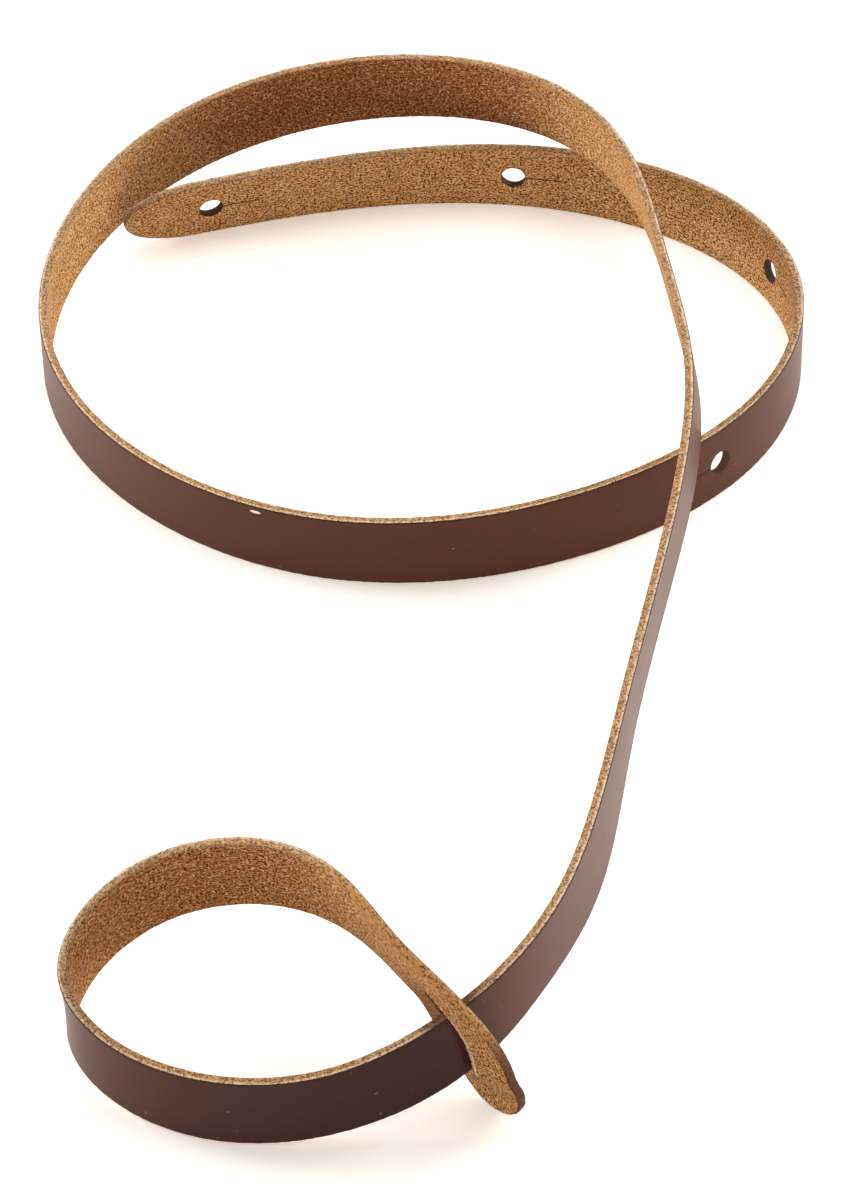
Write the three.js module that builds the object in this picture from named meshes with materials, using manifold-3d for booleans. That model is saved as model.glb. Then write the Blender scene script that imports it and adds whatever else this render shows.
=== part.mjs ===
// Mandolin strap: one long strip of vegetable-tanned leather, standing on its edge.
//
// The strip is cut with a pointed-round nose and four button holes at one end, and with a
// lengthwise slit in a rounded tongue at the other. It lies in one big loop that crosses over
// itself twice, runs forward, and then closes a small loop by passing through its own slit.
// Millimetres, +Z up, the lower edge of the big loop on z = 0.

import * as THREE from 'three';
import { mergeVertices } from 'three/addons/utils/BufferGeometryUtils.js';
import Module from 'manifold-3d';

const wasm = await Module();
wasm.setup();

// ---- driving dimensions, mm ----

const WIDTH = 16;
const THICKNESS = 1.8;
const NOSE_LENGTH = 16; // the button end narrows to its nose over this length
const TONGUE_LENGTH = 9; // the slit end rounds off over this length
const STEP = 4.5; // longest facet along the strap
const SLIT_STEP = 1.6; // longest facet along the slit
const NOSE_FACETS = 8;

const BUTTON_HOLE = { count: 4, first: 19, spacing: 66, diameter: 5.2, cut: 9, cutGap: 0.4 };

// The slit opens round the strap that passes through it at a slant. Each lip is drawn away from the
// middle line by its startSpread near the start of the slit and by its endSpread near the end, and
// the upper lip ends below the middle line.
const SLIT = {
  start: 33, // from the tongue's end
  end: 6,
  gap: 0.35, // between the lips where the slit is shut
  opening: 7, // the lips part over this length at the start
  closing: 4.5, // and meet again over this length at the end
  upperLip: { startSpread: 7.6, endSpread: -2, lift: 1.7 },
  lowerLip: { startSpread: 1.5, endSpread: 4.8, lift: -0.8 },
  edgeShare: 0.2, // how much of a lip's movement reaches the strap's own edge
};

// Guide points of the strap's middle line, from the button end to the tongue, one row for each
// stretch. The line is a uniform cubic B-spline, so it passes close by them in an even curve.
// rise: how far the strap's middle is lifted from where it is when its edge is on the table.
// lean: degrees by which the upper edge leans towards the grain side.
const ROUTE = [
  { x: -63, y: 108.5, rise: 0, lean: -14 }, // nose of the button end
  { x: -15, y: 125, rise: 0, lean: -12 },
  { x: 28, y: 127, rise: 0, lean: -2 },
  { x: 63, y: 112, rise: 0, lean: 5 },
  { x: 81, y: 83.5, rise: 0, lean: 0 }, // right end of the big loop
  { x: 74.5, y: 47.5, rise: 0, lean: -3 },
  { x: 49, y: 20.5, rise: 0, lean: -5 },
  { x: 8, y: 3.5, rise: 0, lean: 0 }, // front of the big loop
  { x: -31, y: 6.5, rise: 0, lean: 3 },
  { x: -65, y: 30.5, rise: 0, lean: 5 },
  { x: -81, y: 67, rise: 0, lean: 0 }, // left end of the big loop
  { x: -73.5, y: 105.5, rise: 3, lean: 0 },
  { x: -47, y: 133.5, rise: 8.5, lean: 5 },
  { x: -7, y: 141.5, rise: 14.2, lean: -2 }, // outer turn, climbing
  { x: 28.5, y: 130, rise: 16.9, lean: -10 },
  { x: 46, y: 102, rise: 17.6, lean: -11 }, // over the button end
  { x: 50, y: 67, rise: 17.2, lean: -13 },
  { x: 55.5, y: 32.5, rise: 18, lean: -9 }, // over the front of the big loop
  { x: 48.4, y: -8.2, rise: 16.7, lean: 0.1 },
  { x: 37.8, y: -52, rise: 14.6, lean: 0.3 }, // straight run forward
  { x: 31.9, y: -90.3, rise: 14.2, lean: -10.2 },
  { x: 21.9, y: -115.1, rise: 15.2, lean: 1.7 },
  { x: 7.5, y: -130.7, rise: 8.9, lean: -5.2 }, // through the slit
  { x: -14.6, y: -138.7, rise: 1.2, lean: 3.5 },
  { x: -37.6, y: -138.8, rise: 0, lean: 1.2 }, // front of the small loop
  { x: -55.9, y: -129.2, rise: 0.4, lean: 4.3 },
  { x: -64.1, y: -117.3, rise: 4.8, lean: 3.4 },
  { x: -57.9, y: -105.9, rise: 11.7, lean: -2.5 },
  { x: -44.4, y: -100.5, rise: 19.2, lean: -4.5 }, // back of the small loop, climbing
  { x: -27.2, y: -103.3, rise: 25.2, lean: -3.6 },
  { x: -13.5, y: -111.8, rise: 27.1, lean: -10 },
  { x: -4.5, y: -122.9, rise: 22.8, lean: -20.2 }, // down to the slit
  { x: 5.1, y: -128, rise: 15.9, lean: -28.2 },
  { x: 10.8, y: -129.3, rise: 3.5, lean: -29.6 },
  { x: 14.7, y: -131.3, rise: -7.3, lean: -17 }, // tongue's end, just off the table
];

const LEATHER = { color: 0x6b4a3e, roughness: 0.45, metalness: 0 };

// ---- the strap's middle line and the frame along it ----

function mirrored(end, next) {
  return {
    x: 2 * end.x - next.x,
    y: 2 * end.y - next.y,
    rise: 2 * end.rise - next.rise,
    lean: 2 * end.lean - next.lean,
  };
}

// One column of the guide table, blended at t = 0 to 1 along it.
function blended(column, t) {
  const last = ROUTE.length - 1;
  const span = Math.min(Math.floor(t * last), last - 1);
  const f = t * last - span;
  const weights = [(1 - f) ** 3, 3 * f ** 3 - 6 * f ** 2 + 4, 1 + 3 * f + 3 * f ** 2 - 3 * f ** 3, f ** 3];
  const before = span > 0 ? ROUTE[span - 1] : mirrored(ROUTE[0], ROUTE[1]);
  const after = span + 2 <= last ? ROUTE[span + 2] : mirrored(ROUTE[last], ROUTE[last - 1]);
  const rows = [before, ROUTE[span], ROUTE[span + 1], after];
  return rows.reduce((sum, row, i) => sum + (weights[i] * row[column]) / 6, 0);
}

class StrapRoute extends THREE.Curve {
  getPoint(t, target = new THREE.Vector3()) {
    return target.set(blended('x', t), blended('y', t), blended('rise', t) + WIDTH / 2);
  }
}

const route = new StrapRoute();
route.arcLengthDivisions = 2400;
const LENGTH = route.getLength();

// Centre, along, across (towards the upper edge) and grain (out of the grain side).
function frameAt(distance) {
  const t = route.getUtoTmapping(0, THREE.MathUtils.clamp(distance, 0, LENGTH));
  const along = route.getTangent(t);
  const upright = new THREE.Vector3(0, 0, 1).addScaledVector(along, -along.z).normalize();
  const outward = new THREE.Vector3().crossVectors(upright, along);
  const lean = THREE.MathUtils.degToRad(blended('lean', t));
  const across = upright.clone().multiplyScalar(Math.cos(lean)).addScaledVector(outward, Math.sin(lean));
  const grain = new THREE.Vector3().crossVectors(across, along);
  return { centre: route.getPoint(t), along, across, grain };
}

// ---- the leather's outline ----

function halfWidth(distance) {
  const rounded = (fromEnd, length) => Math.sqrt(1 - Math.max(0, 1 - fromEnd / length) ** 2);
  const nose = rounded(distance, NOSE_LENGTH);
  const tongue = rounded(LENGTH - distance, TONGUE_LENGTH);
  return (WIDTH / 2) * Math.min(nose, tongue);
}

// Distances along the strap at which its cross-sections stand: by equal angles round the two
// ends, close together along the slit, and even elsewhere.
function stations() {
  const rounding = (length) =>
    Array.from({ length: NOSE_FACETS }, (_, i) => {
      const angle = ((i + 1) * Math.PI) / 2 / NOSE_FACETS;
      return length * (1 - Math.cos(angle));
    });
  const even = (from, to, step) => {
    const count = Math.ceil((to - from) / step);
    return Array.from({ length: count - 1 }, (_, i) => from + ((i + 1) * (to - from)) / count);
  };
  const slitStart = LENGTH - SLIT.start;
  const slitEnd = LENGTH - SLIT.end;
  return [
    ...rounding(NOSE_LENGTH),
    ...even(NOSE_LENGTH, slitStart, STEP),
    slitStart,
    ...even(slitStart, slitEnd, SLIT_STEP),
    slitEnd,
    ...rounding(TONGUE_LENGTH).map((d) => LENGTH - d).filter((d) => d > slitEnd).reverse(),
  ];
}

// ---- the slit ----

// How far a lip is drawn from the middle line: across (spread) and off the surface (lift).
function lipShift(distance, half) {
  const fromStart = distance - (LENGTH - SLIT.start);
  const fromEnd = LENGTH - SLIT.end - distance;
  if (fromStart <= 0 || fromEnd <= 0) return { spread: 0, lift: 0 };
  const { smoothstep, lerp } = THREE.MathUtils;
  const open = smoothstep(fromStart, 0, SLIT.opening) * smoothstep(fromEnd, 0, SLIT.closing);
  const lip = half > 0 ? SLIT.upperLip : SLIT.lowerLip;
  const spread = lerp(lip.startSpread, lip.endSpread, fromStart / (SLIT.start - SLIT.end));
  const shut = (SLIT.gap / 2) * smoothstep(Math.min(fromStart, fromEnd), 0, 1);
  return { spread: half * (shut + spread * open), lift: -lip.lift * open };
}

// A point of the leather: half is +1 for the upper half and -1 for the lower one, edge is 0 on
// the middle line and 1 on the strap's edge, face is +1 on the grain side and -1 on the flesh side.
function leatherPoint(distance, half, edge, face) {
  const { centre, across, grain } = frameAt(distance);
  const shift = lipShift(distance, half);
  const share = THREE.MathUtils.lerp(1, SLIT.edgeShare, edge);
  return centre
    .addScaledVector(across, half * edge * halfWidth(distance) + shift.spread * share)
    .addScaledVector(grain, (face * THICKNESS) / 2 + shift.lift * share);
}

// ---- the strip as one closed skin ----

function stripGeometry() {
  const corners = [];
  const quad = (a, b, c, d) => corners.push(a, b, c, a, c, d);
  const places = stations();
  for (let i = 0; i < places.length - 1; i++) {
    const [near, far] = [places[i], places[i + 1]];
    const inSlit = near >= LENGTH - SLIT.start && far <= LENGTH - SLIT.end;
    for (const half of [1, -1]) {
      const p = (distance, edge, face) => leatherPoint(distance, half, edge, face);
      const outward = (a, b, c, d) => (half > 0 ? quad(a, b, c, d) : quad(d, c, b, a));
      outward(p(near, 0, 1), p(near, 1, 1), p(far, 1, 1), p(far, 0, 1));
      outward(p(near, 1, -1), p(near, 0, -1), p(far, 0, -1), p(far, 1, -1));
      outward(p(near, 1, 1), p(near, 1, -1), p(far, 1, -1), p(far, 1, 1));
      if (inSlit) outward(p(near, 0, -1), p(near, 0, 1), p(far, 0, 1), p(far, 0, -1));
    }
  }
  for (const half of [1, -1]) {
    const p = (distance, edge, face) => leatherPoint(distance, half, edge, face);
    const [first, last] = [places[0], places[places.length - 1]];
    const cap = (distance, facing) => {
      const face = [p(distance, 0, -1), p(distance, 1, -1), p(distance, 1, 1), p(distance, 0, 1)];
      quad(...(facing * half > 0 ? face : face.reverse()));
    };
    cap(first, 1);
    cap(last, -1);
  }
  return mergeVertices(new THREE.BufferGeometry().setFromPoints(corners), 1e-4);
}

// ---- joining and cutting ----

function toSolid(geometry) {
  const plain = new THREE.BufferGeometry();
  plain.setAttribute('position', geometry.getAttribute('position'));
  plain.setIndex(geometry.getIndex());
  const merged = mergeVertices(plain, 1e-4);
  return new wasm.Manifold(
    new wasm.Mesh({
      numProp: 3,
      vertProperties: new Float32Array(merged.getAttribute('position').array),
      triVerts: new Uint32Array(merged.getIndex().array),
    })
  );
}

function toGeometry(solid) {
  const mesh = solid.getMesh();
  const geometry = new THREE.BufferGeometry();
  geometry.setAttribute('position', new THREE.BufferAttribute(mesh.vertProperties, mesh.numProp));
  geometry.setIndex(new THREE.BufferAttribute(mesh.triVerts, 1));
  geometry.computeVertexNormals();
  return geometry;
}

// Stands the strap on z = 0 with the middle of its box over the origin.
function overOrigin(geometry) {
  geometry.computeBoundingBox();
  const middle = geometry.boundingBox.getCenter(new THREE.Vector3());
  return geometry.translate(-middle.x, -middle.y, -geometry.boundingBox.min.z);
}

// A round punch with a short knife cut beside it, square to the leather at that distance.
function buttonHoleCutter(distance) {
  const { centre, along, across, grain } = frameAt(distance);
  const reach = 4 * THICKNESS;
  const punch = new THREE.CylinderGeometry(BUTTON_HOLE.diameter / 2, BUTTON_HOLE.diameter / 2, reach, 20);
  punch.rotateX(Math.PI / 2);
  const knife = new THREE.BoxGeometry(BUTTON_HOLE.cut, BUTTON_HOLE.cutGap, reach);
  knife.translate((BUTTON_HOLE.diameter + BUTTON_HOLE.cut) / 2 - BUTTON_HOLE.cutGap, 0, 0);
  const placed = new THREE.Matrix4().makeBasis(along, across, grain.clone().negate()).setPosition(centre);
  return toSolid(punch.applyMatrix4(placed)).add(toSolid(knife.applyMatrix4(placed)));
}

function strap() {
  let solid = toSolid(stripGeometry());
  for (let i = 0; i < BUTTON_HOLE.count; i++) {
    solid = solid.subtract(buttonHoleCutter(BUTTON_HOLE.first + i * BUTTON_HOLE.spacing));
  }
  const mesh = new THREE.Mesh(overOrigin(toGeometry(solid)), new THREE.MeshStandardMaterial(LEATHER));
  mesh.name = 'strap';
  return mesh;
}

const group = new THREE.Group();
group.add(strap());

export default group;
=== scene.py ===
import math

import bpy
import numpy as np
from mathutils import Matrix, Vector
from mathutils.geometry import delaunay_2d_cdt


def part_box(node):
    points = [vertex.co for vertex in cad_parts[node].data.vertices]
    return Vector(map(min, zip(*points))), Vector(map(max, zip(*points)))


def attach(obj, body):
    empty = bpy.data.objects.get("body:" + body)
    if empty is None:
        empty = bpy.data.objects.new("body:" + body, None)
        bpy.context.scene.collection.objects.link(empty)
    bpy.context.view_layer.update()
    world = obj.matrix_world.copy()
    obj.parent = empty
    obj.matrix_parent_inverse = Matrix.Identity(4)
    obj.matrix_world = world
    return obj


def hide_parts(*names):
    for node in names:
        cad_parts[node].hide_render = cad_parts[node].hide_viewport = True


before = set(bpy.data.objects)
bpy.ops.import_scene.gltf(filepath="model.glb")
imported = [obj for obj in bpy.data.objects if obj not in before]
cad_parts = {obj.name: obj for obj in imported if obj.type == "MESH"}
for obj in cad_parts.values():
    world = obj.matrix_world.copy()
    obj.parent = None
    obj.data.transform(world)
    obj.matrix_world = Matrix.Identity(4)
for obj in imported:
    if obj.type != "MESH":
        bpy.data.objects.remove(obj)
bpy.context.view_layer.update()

# ---- The strip, cut flat ----
# The strap starts as one long strip of leather. It is cut with a pointed-round nose at
# the button end and a rounded tongue at the slit end, and its cut edges are left bare.
# Flat sizes are millimetres: s runs from the nose, v across from the middle line and w from the
# middle of the leather up to its grain side.

WIDTH = 16.0
THICKNESS = 1.8
NOSE_LENGTH = 16.0
TONGUE_LENGTH = 9.0
EDGE_ROUNDING = 0.28  # the worn corner between a face and the cut edge
EDGE_TORN = 0.05  # about how far the fibres of the cut edge stand out

# Guide points of the strap's middle line, from the button end to the tongue, in millimetres.
# rise: how far the strap is lifted from where its edge is on the table.
# lean: degrees by which the upper edge leans towards the grain side.
ROUTE = np.array([  # x, y, rise, lean
    (-63, 108.5, 0, -14),  # nose of the button end
    (-15, 125, 0, -12),
    (28, 127, 0, -2),
    (63, 112, 0, 5),
    (81, 83.5, 0, 0),  # right end of the big loop
    (74.5, 47.5, 0, -3),
    (49, 20.5, 0, -5),
    (8, 3.5, 0, 0),  # front of the big loop
    (-31, 6.5, 0, 3),
    (-65, 30.5, 0, 5),
    (-81, 67, 0, 0),  # left end of the big loop
    (-73.5, 105.5, 3, 0),
    (-47, 133.5, 8.5, 5),
    (-7, 141.5, 14.2, -2),  # outer turn, climbing
    (28.5, 130, 16.9, -10),
    (46, 102, 17.6, -11),  # over the button end
    (50, 67, 17.2, -13),
    (55.5, 32.5, 18, -9),  # over the front of the big loop
    (48.4, -8.2, 16.7, 0.1),
    (37.8, -52, 14.6, 0.3),  # straight run forward
    (31.9, -90.3, 14.2, -10.2),
    (21.9, -115.1, 15.2, 1.7),
    (7.5, -130.7, 8.9, -5.2),  # through the slit
    (-14.6, -138.7, 1.2, 3.5),
    (-37.6, -138.8, 0, 1.2),  # front of the small loop
    (-55.9, -129.2, 0.4, 4.3),
    (-64.1, -117.3, 4.8, 3.4),
    (-57.9, -105.9, 11.7, -2.5),
    (-44.4, -100.5, 19.2, -4.5),  # back of the small loop, climbing
    (-27.2, -103.3, 25.2, -3.6),
    (-13.5, -111.8, 27.1, -10),
    (-4.5, -122.9, 22.8, -20.2),  # down to the slit
    (5.1, -128, 15.9, -28.2),
    (10.8, -129.3, 3.5, -29.6),
    (14.7, -131.3, -7.3, -17),  # tongue's end, just off the table
])


def blended_guides(per_span=60):
    """The guide points as one even curve, a uniform cubic B-spline, with its direction."""
    rows = np.vstack([2 * ROUTE[0] - ROUTE[1], ROUTE, 2 * ROUTE[-1] - ROUTE[-2]])
    f = np.linspace(0, 1, per_span, endpoint=False)[:, None]
    spans = []
    for i in range(len(ROUTE) - 1):
        a, b, c, d = rows[i:i + 4]
        spans.append(((1 - f) ** 3 * a + (3 * f ** 3 - 6 * f ** 2 + 4) * b
                      + (1 + 3 * f + 3 * f ** 2 - 3 * f ** 3) * c + f ** 3 * d) / 6)
    spans.append(ROUTE[-1:])
    return np.vstack(spans)


guides = blended_guides()
middle_line = guides[:, :3] + (0, 0, WIDTH / 2)
travelled = np.concatenate([[0], np.cumsum(np.linalg.norm(np.diff(middle_line, axis=0), axis=1))])
LENGTH = travelled[-1]
directions = np.gradient(middle_line, travelled, axis=0)
directions /= np.linalg.norm(directions, axis=1)[:, None]


def half_width(s):
    """Half the strip's width at s, narrowing round the nose and the tongue."""
    nose = np.sqrt(1 - np.clip(1 - s / NOSE_LENGTH, 0, 1) ** 2)
    tongue = np.sqrt(1 - np.clip(1 - (LENGTH - s) / TONGUE_LENGTH, 0, 1) ** 2)
    return WIDTH / 2 * np.minimum(nose, tongue)


def strip_outline(spacing=0.8, end_points=44):
    """The cut line round the whole strip, counter-clockwise seen from the grain side."""
    half = WIDTH / 2
    turn = np.linspace(-math.pi / 2, math.pi / 2, end_points)
    tongue = np.column_stack([LENGTH - TONGUE_LENGTH * (1 - np.cos(turn)), half * np.sin(turn)])
    nose = np.column_stack([NOSE_LENGTH * (1 - np.cos(turn)), -half * np.sin(turn)])
    count = int((LENGTH - NOSE_LENGTH - TONGUE_LENGTH) / spacing)
    along = np.linspace(NOSE_LENGTH, LENGTH - TONGUE_LENGTH, count)[1:-1]
    lower = np.column_stack([along, np.full(len(along), -half)])
    upper = np.column_stack([along[::-1], np.full(len(along), half)])
    return np.vstack([lower, tongue, upper, nose])


# ---- Button holes ----
# Four round holes for the instrument's strap button, punched on the middle line of the button
# end. A short knife cut beside each, away from the nose, lets the button's head through.

BUTTON_HOLE_COUNT = 4
FIRST_BUTTON_HOLE = 19.0
BUTTON_HOLE_SPACING = 66.0
BUTTON_HOLE_DIAMETER = 5.2
HOLE_ROUNDING = 0.07
HOLE_TORN = 0.015
KNIFE_CUT = 9.0  # its length, from the hole's rim
KNIFE_CUT_GAP = 0.12
KNIFE_START = 0.5  # from the rim to where its sides run even
KNIFE_TIP = 1.5  # it narrows to half its gap over this length


def button_hole(centre, round_points=40, cut_points=10):
    """The cut line of a punched hole and its knife cut, clockwise."""
    radius, half_gap = BUTTON_HOLE_DIAMETER / 2, KNIFE_CUT_GAP / 2
    mouth = math.asin(half_gap / radius)
    turn = np.linspace(2 * math.pi - mouth, mouth, round_points)
    punched = np.column_stack([centre + radius * np.cos(turn), radius * np.sin(turn)])
    reach = np.linspace(radius + KNIFE_START, radius + KNIFE_CUT - KNIFE_CUT_GAP, cut_points)
    narrowing = half_gap * np.clip((reach[-1] - reach) / KNIFE_TIP, 0.5, 1)
    far_side = np.column_stack([centre + reach, narrowing])
    near_side = np.column_stack([centre + reach[::-1], -narrowing[::-1]])
    return np.vstack([punched, far_side, near_side])


# ---- The slit ----
# A lengthwise slit near the tongue, knifed along the middle line, which the strap's own length
# passes through. The strap wedges its lips apart, and the fibres along them are torn.

SLIT_START = 33.0  # from the tongue's end
SLIT_END = 6.0
SLIT_GAP = 0.35  # between the lips where the slit is shut
SLIT_ROUNDING = 0.12
SLIT_TORN = 0.03
SLIT_TORN_MORE = 0.2  # added where the lips are fully parted
SLIT_OPENING = 7.0  # the lips part over this length at the start
SLIT_CLOSING = 4.5  # and meet again over this length at the end
# How far each lip is drawn away from the middle line at the slit's start and end, and how far
# it is lifted towards the flesh side.
SLIT_LIPS = {
    "upper": {"start": 7.6, "end": -2.0, "lift": 1.7},
    "lower": {"start": 1.5, "end": 4.8, "lift": -0.8},
}
EDGE_SHARE = 0.2  # how much of a lip's movement reaches the strap's own edge


def smoothstep(x, low, high):
    """0 where x is low and 1 where it is high, softly."""
    t = np.clip((x - low) / (high - low), 0, 1)
    return t * t * (3 - 2 * t)


def slit_outline(lip_points=46):
    """The cut line of the slit while it is shut, clockwise."""
    s = np.linspace(LENGTH - SLIT_START, LENGTH - SLIT_END, lip_points)
    gap = SLIT_GAP / 2 * np.clip(np.minimum(s - s[0], s[-1] - s), 0, 1)
    upper = np.column_stack([s, gap])
    lower = np.column_stack([s[-2:0:-1], -gap[-2:0:-1]])
    return np.vstack([upper, lower])


def slit_openness(s):
    """1 where the lips are fully parted and 0 where the slit is shut."""
    from_start, from_end = s - (LENGTH - SLIT_START), LENGTH - SLIT_END - s
    return smoothstep(from_start, 0, SLIT_OPENING) * smoothstep(from_end, 0, SLIT_CLOSING)


def lips_parted(s, v, side):
    """How far the parting of the lips draws each point across, and towards the grain side.

    side is + for points of the upper lip, whichever side of the middle line they reach to.
    """
    upper, lower = SLIT_LIPS["upper"], SLIT_LIPS["lower"]
    open_here = slit_openness(s)
    reached = (s - (LENGTH - SLIT_START)) / (SLIT_START - SLIT_END)
    spread = np.where(side > 0, upper["start"] + (upper["end"] - upper["start"]) * reached,
                      -lower["start"] - (lower["end"] - lower["start"]) * reached)
    lift = np.where(side > 0, upper["lift"], lower["lift"])
    share = 1 + (EDGE_SHARE - 1) * np.abs(v) / np.maximum(half_width(s), 1e-3)
    return spread * open_here * share, -lift * open_here * share


# ---- Cutting, and laying the strip along its route ----
# The flat strip gets its two faces, its worn corners and its rough cut walls. Then it is stood
# on its edge and bent along the route, over itself twice and through its own slit.

GRAIN, FLESH, CUT = 0, 1, 2
CORNER_STEPS = 3
WALL_STEPS = 3
SKIN = 0.02  # the fibres of a cut wall start this far below the faces
GUARD = 0.4  # a second line of points runs this far inside the strip's worn corner
CLEAR = 0.5  # and the rows of points keep this far from every line
ROW_SPACING = 1.3
COLUMN_SPACING = 1.6
HALF_CUT = 20.0  # no hole or slit reaches farther than this from its middle

cut_lines = [{"line": strip_outline(), "rounding": EDGE_ROUNDING, "torn": EDGE_TORN}]
for i in range(BUTTON_HOLE_COUNT):
    hole = button_hole(FIRST_BUTTON_HOLE + i * BUTTON_HOLE_SPACING)
    cut_lines.append({"line": hole, "rounding": HOLE_ROUNDING, "torn": HOLE_TORN})
slit_line = slit_outline()
cut_lines.append({"line": slit_line, "rounding": SLIT_ROUNDING,
                  "torn": SLIT_TORN + SLIT_TORN_MORE * slit_openness(slit_line[:, 0])})


def outward(line):
    """Unit vectors out of the leather at each point of a cut line."""
    ahead = np.roll(line, -1, axis=0) - line
    ahead /= np.maximum(np.linalg.norm(ahead, axis=1), 1e-9)[:, None]
    behind = np.roll(ahead, 1, axis=0)
    mean = ahead + behind
    mean /= np.maximum(np.linalg.norm(mean, axis=1), 1e-9)[:, None]
    return np.column_stack([mean[:, 1], -mean[:, 0]])


def within(points, line):
    """Which points lie inside a closed line."""
    x, y = points[:, 0][:, None], points[:, 1][:, None]
    x0, y0 = line[:, 0], line[:, 1]
    x1, y1 = np.roll(x0, -1), np.roll(y0, -1)
    crosses = (y0 > y) != (y1 > y)
    with np.errstate(divide="ignore", invalid="ignore"):
        at = x0 + (y - y0) * (x1 - x0) / (y1 - y0)
    return (crosses & (x < at)).sum(1) % 2 == 1


def face_pattern():
    """Points and triangles of one face of the strip, laid out flat, and each cut line's share."""
    points, edges, shares = [], [], []
    for cut in cut_lines:
        line, out = cut["line"], outward(cut["line"])
        first = len(points)
        shares.append(np.arange(first, first + len(line)))
        points.extend(line - out * cut["rounding"])
        edges.extend((first + i, first + (i + 1) % len(line)) for i in range(len(line)))
    edge = cut_lines[0]
    points.extend(edge["line"] - outward(edge["line"]) * (edge["rounding"] + GUARD))
    columns = np.arange(-4, 5) * COLUMN_SPACING
    first_row, last_row = 2.0, LENGTH - 1.2
    for i, s in enumerate(np.arange(first_row, last_row, ROW_SPACING)):
        staggered = columns + (COLUMN_SPACING / 4 if i % 2 else -COLUMN_SPACING / 4)
        row = np.column_stack([np.full(len(columns), s), staggered])
        row = row[np.abs(staggered) < half_width(s) - EDGE_ROUNDING - GUARD - CLEAR]
        for cut in cut_lines[1:]:
            away = row[:, None] - cut["line"][None]
            row = row[(away ** 2).sum(2).min(1) > CLEAR ** 2]
        points.extend(row)
    flat = np.array(points)
    all_triangles, tolerance = 0, 1e-5
    made = delaunay_2d_cdt([Vector(p) for p in flat], edges, [], all_triangles, tolerance)
    corners = np.array([tuple(p) for p in made[0]])
    triangles = np.array(made[2])
    centres = corners[triangles].mean(1)
    inside = within(centres, flat[shares[0]])
    for share in shares[1:]:
        nearby = np.abs(centres[:, 0] - flat[share][:, 0].mean()) < HALF_CUT
        inside[nearby] &= ~within(centres[nearby], flat[share])
    renumbered = {old: new for new, olds in enumerate(made[3]) for old in olds}
    shares = [np.array([renumbered[i] for i in share]) for share in shares]
    return corners, triangles[inside], shares


def flat_strip():
    """The whole strip as flat points (s, v, w), their sides, faces and each face's surface.

    A point's side is + above the middle line. It is its cut line's side, not its own, because
    torn fibres can reach across. They stand out by about torn, and twice that at most.
    """
    pattern, triangles, shares = face_pattern()
    half = THICKNESS / 2
    points = [np.column_stack([pattern, np.full(len(pattern), half)]),
              np.column_stack([pattern, np.full(len(pattern), -half)])]
    sides = [pattern[:, 1], pattern[:, 1]]
    count = len(pattern)
    faces = [tuple(t) for t in triangles] + [tuple(count + t[::-1]) for t in triangles]
    kinds = [GRAIN] * len(triangles) + [FLESH] * len(triangles)
    fibres = np.random.default_rng(4)
    made = 2 * count
    for cut, share in zip(cut_lines, shares):
        line, out, r = cut["line"], outward(cut["line"]), cut["rounding"]
        turn = np.linspace(0, math.pi / 2, CORNER_STEPS + 1)[1:]
        wall = np.linspace(half - r, r - half, WALL_STEPS + 2)[1:-1]
        profile = [(-r + r * math.sin(a), half - r * (1 - math.cos(a))) for a in turn]
        profile += [(0.0, w) for w in wall]
        profile += [(-r + r * math.sin(a), -half + r * (1 - math.cos(a))) for a in turn[::-1]]
        rings = [share]
        for offset, w in profile:
            torn = fibres.exponential(cut["torn"], len(line)).clip(0, 2 * cut["torn"])
            ragged = torn * (abs(w) < half - SKIN)
            ring = line + out * (offset + ragged)[:, None]
            points.append(np.column_stack([ring, np.full(len(ring), w)]))
            sides.append(line[:, 1])
            rings.append(np.arange(made, made + len(ring)))
            made += len(ring)
        rings.append(share + count)
        for above, below in zip(rings, rings[1:]):
            for i in range(len(line)):
                j = (i + 1) % len(line)
                faces.append((above[i], below[i], below[j], above[j]))
                kinds.append(CUT)
    return np.vstack(points), np.concatenate(sides), faces, kinds


def laid_along_route(flat, sides):
    """Takes flat points (s, v, w) to where they lie on the finished strap, in millimetres."""
    s, v, w = flat.T

    def at(values):
        return np.column_stack([np.interp(s, travelled, values[:, k]) for k in range(3)])

    centre, along = at(middle_line), at(directions)
    along /= np.linalg.norm(along, axis=1)[:, None]
    upright = np.array([0, 0, 1]) - along * along[:, 2:]
    upright /= np.linalg.norm(upright, axis=1)[:, None]
    aside = np.cross(upright, along)
    lean = np.radians(np.interp(s, travelled, guides[:, 3]))[:, None]
    across = upright * np.cos(lean) + aside * np.sin(lean)
    grain = np.cross(across, along)
    spread, lift = lips_parted(s, v, sides)
    return centre + across * (v + spread)[:, None] + grain * (w + lift)[:, None]


flat_points, point_sides, strap_faces, face_kinds = flat_strip()
laid_points = laid_along_route(flat_points, point_sides) / 1000
low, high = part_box("strap")
middle = (laid_points.min(0) + laid_points.max(0)) / 2
laid_points += (low.x / 2 + high.x / 2 - middle[0], low.y / 2 + high.y / 2 - middle[1],
                low.z - laid_points[:, 2].min())

strap_mesh = bpy.data.meshes.new("strap_leather")
# Along, across and grain make a left-handed set, so each face is taken in reverse here.
strap_mesh.from_pydata(laid_points.tolist(), [], [tuple(map(int, f[::-1])) for f in strap_faces])
strap_mesh.polygons.foreach_set("material_index", face_kinds)
strap_mesh.polygons.foreach_set("use_smooth", [True] * len(strap_faces))
strap_mesh.attributes.new("flat_place", "FLOAT_VECTOR", "POINT").data.foreach_set(
    "vector", flat_points.astype(np.float32).ravel())
strap_mesh.validate()
strap = bpy.data.objects.new("leather_strap", strap_mesh)
bpy.context.scene.collection.objects.link(strap)
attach(strap, "root")
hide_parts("strap")


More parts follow.
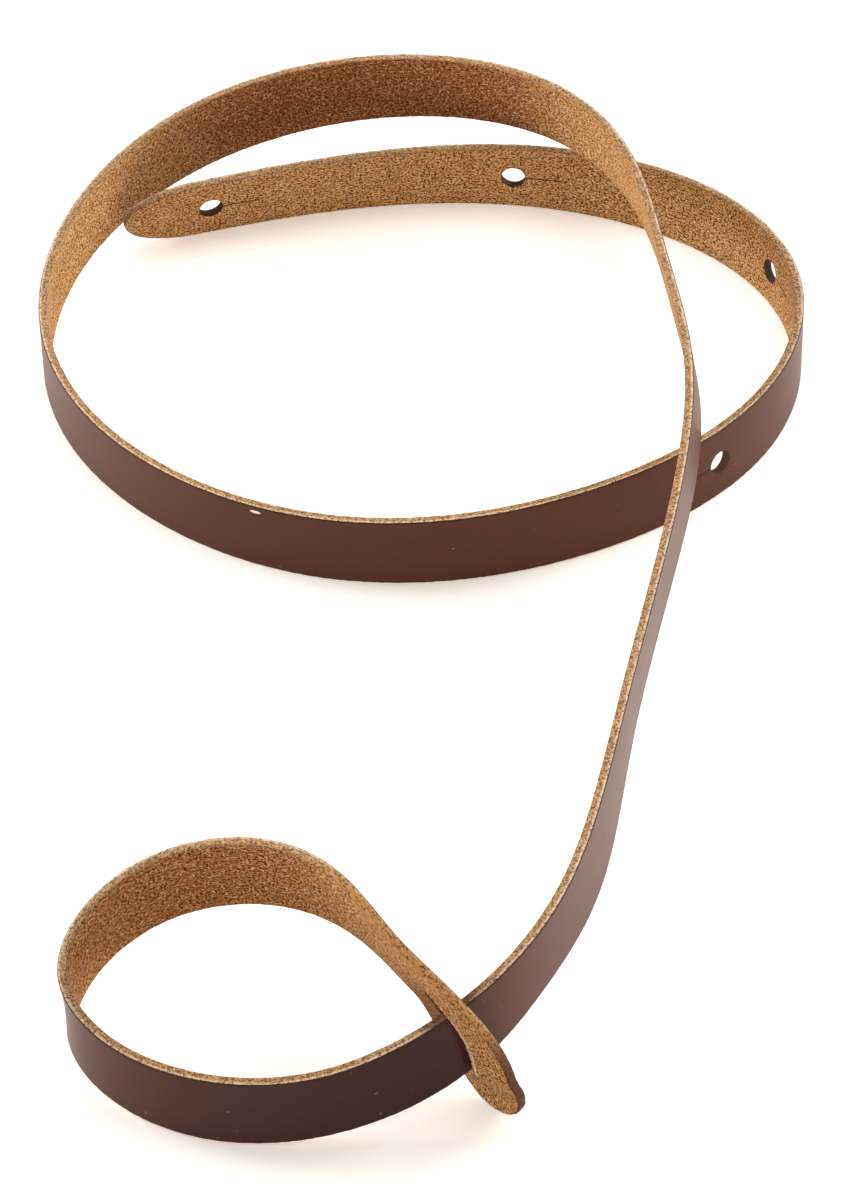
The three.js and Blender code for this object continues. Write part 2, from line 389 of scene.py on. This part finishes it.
# ---- Leather finishes ----
# The grain side is dyed dark brown, smoothed and waxed to a soft gloss. The flesh side is left
# bare: tan, matt and short-fibred. The cut edges show the tan core under a thin dyed skin.

class Shade:
    """A socket of a finish, which can be used in sums."""

    def __init__(self, finish, socket):
        self.finish, self.socket = finish, socket

    def _with(self, operation, a, b):
        return self.finish.add("ShaderNodeMath", {"operation": operation}, {0: a, 1: b})

    def __add__(self, other): return self._with("ADD", self, other)
    def __radd__(self, other): return self._with("ADD", other, self)
    def __sub__(self, other): return self._with("SUBTRACT", self, other)
    def __rsub__(self, other): return self._with("SUBTRACT", other, self)
    def __mul__(self, other): return self._with("MULTIPLY", self, other)
    def __rmul__(self, other): return self._with("MULTIPLY", other, self)
    def __truediv__(self, other): return self._with("DIVIDE", self, other)
    def __pow__(self, other): return self._with("POWER", self, other)


class Finish:
    """The nodes of one finish, added one by one to a new material or world."""

    def __init__(self, owner):
        self.owner = owner
        owner.use_nodes = True
        self.tree = owner.node_tree
        self.tree.nodes.clear()

    def add(self, kind, settings, sockets, output=0):
        """Adds a node, makes its settings, then fills its sockets with values or links."""
        node = self.tree.nodes.new(kind)
        for name, value in settings.items():
            setattr(node, name, value)
        for name, value in sockets.items():
            socket = node.inputs[name] if isinstance(name, int) else next(
                s for s in node.inputs if name in (s.identifier, s.name) and s.enabled)
            if isinstance(value, Shade):
                self.tree.links.new(value.socket, socket)
            else:
                socket.default_value = value
        return None if output is None else Shade(self, node.outputs[output])

    def place(self):
        """The place on the flat strip, in millimetres: s, v and w."""
        return self.add("ShaderNodeAttribute", {"attribute_name": "flat_place"}, {}, "Vector")

    def part(self, vector, axis):
        return self.add("ShaderNodeSeparateXYZ", {}, {"Vector": vector}, axis)

    def noise(self, scale, detail=3.0, roughness=0.55, along=1.0, across=1.0):
        stretched = self.add("ShaderNodeVectorMath", {"operation": "MULTIPLY"},
                             {0: self.place(), 1: (along, across, 1.0)})
        return self.add("ShaderNodeTexNoise", {}, {
            "Vector": stretched, "Scale": scale, "Detail": detail, "Roughness": roughness})

    def between(self, value, low, high):
        """0 where value is low and 1 where it is high, softly."""
        return self.add("ShaderNodeMapRange", {"interpolation_type": "SMOOTHSTEP"}, {
            "Value": value, "From Min": low, "From Max": high})

    def stretch(self, start, full, fading, end):
        """1 from full to fading along the strip and 0 outside start and end, in millimetres."""
        s = self.part(self.place(), 0)
        return self.between(s, start, full) * self.between(s, end, fading)

    def mix(self, mask, colour, other):
        """The first colour where mask is 0 and the other where it is 1."""
        return self.add("ShaderNodeMix", {"data_type": "RGBA"}, {
            "Factor_Float": mask,
            "A_Color": colour if isinstance(colour, Shade) else (*colour, 1),
            "B_Color": other if isinstance(other, Shade) else (*other, 1)}, "Result")

    def surface(self, colour, roughness, relief, depth, **constants):
        """Closes the finish with its leather shader. depth is the relief's height in metres."""
        bump = self.add("ShaderNodeBump", {}, {
            "Strength": 1.0, "Distance": depth, "Height": relief})
        leather = self.add("ShaderNodeBsdfPrincipled", {}, {
            "Base Color": colour, "Roughness": roughness, "Normal": bump, **constants})
        self.add("ShaderNodeOutputMaterial", {}, {"Surface": leather}, None)
        return self.owner


THROUGH_SLIT = 814  # where along the strip it passes through its own slit
BIG_LOOP_BACK = (436, 478, 528, 556)  # where a look starts, is full, fades and ends
SMALL_LOOP_BACK = (900, 925, 935, 962)
NICK = (315.5, 6.6)  # s and v of a small nick, near the upper edge of the big loop's front
NICK_REACH = (1.1, 0.38)  # half its length and half its height


def grain_side():
    """Dyed and waxed: dark brown with a faint mottle, a few pale specks and one nick.

    Painted shade darkens it where it has just come through the slit, along the small loop's front.
    """
    hide = Finish(bpy.data.materials.new("grain_side"))
    mottle = hide.noise(0.09, 3, along=0.6)
    pores = hide.noise(2.6, 2, across=1.4)
    creases = hide.noise(0.5, 3, along=0.4)
    specks = hide.between(hide.noise(0.8, 0), 0.84, 0.86)
    s, v = (hide.part(hide.place(), axis) for axis in (0, 1))
    from_nick = ((s - NICK[0]) / NICK_REACH[0]) ** 2.0 + ((v - NICK[1]) / NICK_REACH[1]) ** 2.0
    nick = hide.between(from_nick, 1.2, 0.7)
    brown = hide.mix(mottle, (0.076, 0.0235, 0.0120), (0.096, 0.030, 0.0155))
    # Painted shade: the grain side is darkened from the slit along the small loop's front, where
    # the tongue and the run keep the light off.
    painted_shade_past_slit = hide.stretch(THROUGH_SLIT - 8, THROUGH_SLIT + 8, THROUGH_SLIT + 11, THROUGH_SLIT + 91)
    brown = hide.mix(0.85 * painted_shade_past_slit, brown, (0.020, 0.0015, 0.0004))
    brown = hide.mix(0.25 * hide.between(pores, 0.52, 0.68), brown, (0.060, 0.020, 0.011))
    brown = hide.mix(0.4 * specks, brown, (0.28, 0.18, 0.13))
    brown = hide.mix(nick, brown, (0.85, 0.76, 0.66))
    relief = 0.6 * creases + 0.25 * pores - 3.0 * nick
    return hide.surface(brown, 0.34 + 0.1 * mottle, relief, 0.00004,
                        **{"IOR": 1.28, "Specular IOR Level": 0.35})


def flesh_side():
    """Bare and short-fibred: tan, with fine dark grit and pale fibres, like suede.

    It is darker and redder in the back bends of the two loops. Painted shade darkens it where
    the strap passes through its own slit and where the lips part.
    """
    hide = Finish(bpy.data.materials.new("flesh_side"))
    s, v = (hide.part(hide.place(), axis) for axis in (0, 1))
    patches = hide.noise(0.22, 3, along=0.7)
    grit = hide.noise(2.3, 2, 0.6, along=0.75)
    fine = hide.noise(3.6, 1, 0.5, along=0.8)
    pale = hide.noise(2.7, 1, 0.5, along=0.85, across=0.9)
    bends = hide.stretch(*BIG_LOOP_BACK) + 0.55 * hide.stretch(*SMALL_LOOP_BACK)
    tan = hide.mix(hide.between(patches, 0.35, 0.65), (0.57, 0.290, 0.090), (0.64, 0.360, 0.140))
    # Painted shade where the strap passes through its own slit.
    painted_shade_through_slit = hide.stretch(THROUGH_SLIT - 16, THROUGH_SLIT - 6, THROUGH_SLIT + 10, THROUGH_SLIT + 18)
    # v * v is small near the middle line, on both sides of it.
    torn = (hide.between(v * v, 1.5, 0.5) * hide.between(fine, 0.43, 0.53)
            * hide.stretch(LENGTH - 26, LENGTH - 23, LENGTH - 12, LENGTH - 9))
    # Painted shade on the lower lip beside the slit, where the lips part.
    parting = (hide.between(v, -2.7, -2.1) * hide.between(v, 0.0, -0.3)
               * hide.stretch(LENGTH - 30, LENGTH - 28, LENGTH - 23, LENGTH - 21))
    tan = hide.mix(0.4 * hide.between(s, 880, 900), tan, (0.42, 0.155, 0.030))
    tan = hide.mix(0.68 * bends, tan, (0.32, 0.066, 0.014))
    tan = hide.mix(0.7 * hide.between(pale, 0.5, 0.66), tan, (0.80, 0.54, 0.29))
    tan = hide.mix(0.75 * hide.between(fine, 0.5, 0.62), tan, (0.22, 0.075, 0.020))
    tan = hide.mix(0.9 * hide.between(grit, 0.52, 0.59), tan, (0.075, 0.017, 0.003))
    # Painted shade, nearly black, through the slit.
    tan = hide.mix(0.95 * painted_shade_through_slit, tan, (0.035, 0.007, 0.004))
    tan = hide.mix(0.9 * parting, tan, (0.035, 0.007, 0.004))
    tan = hide.mix(0.8 * torn, tan, (0.85, 0.58, 0.48))
    relief = 0.5 * fine + 0.5 * pale - 0.8 * hide.between(grit, 0.5, 0.62)
    return hide.surface(tan, 0.92 - 0.1 * patches, relief, 0.00018,
                        **{"Specular IOR Level": 0.1})


def cut_edge():
    """The core of the leather, tan and rough, under its thin dyed skin.

    The tongue's edge is darker. Painted shade darkens the edges where the strap passes through
    the slit, and the walls of the slit and the holes, but for the pale torn fibres of the slit's
    lips.
    """
    hide = Finish(bpy.data.materials.new("cut_edge"))
    s, v, w = (hide.part(hide.place(), axis) for axis in (0, 1, 2))
    fibres = hide.noise(2.4, 2, 0.6, along=0.8)
    grit = hide.noise(2.9, 2, 0.6, along=0.8)
    # v * v is small near the middle line, where the slit and the holes are: their walls get painted
    # shade.
    painted_shade_in_cuts = hide.between(v * v, 12.0, 10.5) * hide.between(s, 8, 12)
    tongue = hide.between(s, LENGTH - 26, LENGTH - 13)
    by_slit = hide.between(s, LENGTH - 60, LENGTH - 45)
    # Painted shadow on the cut edges where the strap passes through its own slit.
    painted_shadow_at_slit_entry = hide.stretch(THROUGH_SLIT - 8, THROUGH_SLIT - 1, THROUGH_SLIT + 3, THROUGH_SLIT + 9)
    core = hide.mix(hide.between(fibres, 0.4, 0.6), (0.29, 0.155, 0.068), (0.50, 0.31, 0.155))
    core = hide.mix(0.7 * hide.between(w, 0.15, 0.5), core, (0.72, 0.53, 0.37))
    core = hide.mix(0.7 * by_slit, core, (0.52, 0.235, 0.065))
    core = hide.mix(0.8 * hide.between(grit, 0.53, 0.62), core, (0.085, 0.032, 0.013))
    core = hide.mix(0.85 * painted_shadow_at_slit_entry, core, (0.075, 0.018, 0.010))
    core = hide.mix(0.85 * tongue, core, (0.055, 0.017, 0.009))
    # Painted shade on the walls of the holes and the slit.
    core = hide.mix(0.9 * painted_shade_in_cuts, core, (0.034, 0.009, 0.004))
    core = hide.mix(hide.between(w, 0.70, 0.78), core, (0.040, 0.014, 0.009))
    fringe = (hide.between(v * v, 3.0, 2.0) * hide.between(w, -0.1, -0.5)
              * hide.stretch(LENGTH - 34, LENGTH - 32, LENGTH - 12, LENGTH - 9)
              * hide.between(hide.noise(1.5, 1), 0.43, 0.49))
    core = hide.mix(0.9 * fringe, core, (0.80, 0.50, 0.42))
    relief = 0.7 * fibres - 0.5 * hide.between(grit, 0.5, 0.62)
    return hide.surface(core, 0.85 - 0.3 * hide.between(w, 0.66, 0.76), relief, 0.0002,
                        **{"Specular IOR Level": 0.25})


for finish in (grain_side(), flesh_side(), cut_edge()):
    strap_mesh.materials.append(finish)


# ---- Studio ----
# The strap stands on a plain white table, lit a little from below as well. The room is bright
# at both sides, behind and above, and dimmer in front, with a soft light on each side and above.

def pale_table():
    table = Finish(bpy.data.materials.new("pale_table"))
    paper = table.add("ShaderNodeBsdfPrincipled", {}, {
        "Base Color": (0.9, 0.9, 0.9, 1), "Roughness": 0.9, "Specular IOR Level": 0.1,
        "Emission Color": (1, 0.93, 0.84, 1), "Emission Strength": 0.3})
    table.add("ShaderNodeOutputMaterial", {}, {"Surface": paper}, None)
    return table.owner


floor_mesh = bpy.data.meshes.new("table")
floor_mesh.from_pydata([(-6, -6, 0), (6, -6, 0), (6, 6, 0), (-6, 6, 0)], [], [(0, 1, 2, 3)])
floor_mesh.materials.append(pale_table())
floor = bpy.data.objects.new("table", floor_mesh)
bpy.context.scene.collection.objects.link(floor)


def pale_room():
    room = Finish(bpy.data.worlds.new("pale_room"))
    towards = room.add("ShaderNodeTexCoord", {}, {}, "Generated")
    behind, up = (room.part(towards, axis) for axis in (1, 2))
    walls = room.mix(room.between(behind, -0.9, -0.1), (0.25, 0.23, 0.205), (1.0, 0.92, 0.83))
    walls = room.mix(room.between(up, 0.4, 0.9), walls, (0.9, 0.85, 0.79))
    light = room.add("ShaderNodeBackground", {}, {"Color": walls, "Strength": 1.0})
    room.add("ShaderNodeOutputWorld", {}, {"Surface": light}, None)
    return room.owner


def softbox(name, place, aim, size, power):
    lamp = bpy.data.lights.new(name, "AREA")
    lamp.shape, lamp.size, lamp.energy = "DISK", size, power
    holder = bpy.data.objects.new(name, lamp)
    holder.location = place
    holder.rotation_mode = "QUATERNION"
    holder.rotation_quaternion = (Vector(aim) - Vector(place)).to_track_quat("-Z", "Y")
    bpy.context.scene.collection.objects.link(holder)


bpy.context.scene.world = pale_room()
softbox("light_right", (1.2, 0.6, 0.5), (0, 0, 0), 0.7, 16)
softbox("light_left", (-1.2, 0.45, 0.5), (0, 0, 0), 0.7, 14)
softbox("light_above", (0, 0.3, 1.4), (0, 0, 0), 0.8, 5)
bpy.context.scene.view_settings.view_transform = "Standard"

# ---- Camera ----
# It looks down at the strap from in front, 43 degrees above the table, from 0.9 m away.

DOWNWARDS = 43  # degrees
lens = bpy.data.cameras.new("camera")
lens.lens = 138
lens.sensor_width = 36
lens.clip_start = 0.05
camera = bpy.data.objects.new("camera", lens)
camera.location = (-0.0001, -0.6581, 0.6139)
camera.rotation_euler = (math.radians(90 - DOWNWARDS), 0, 0)
bpy.context.scene.collection.objects.link(camera)
bpy.context.scene.camera = camera
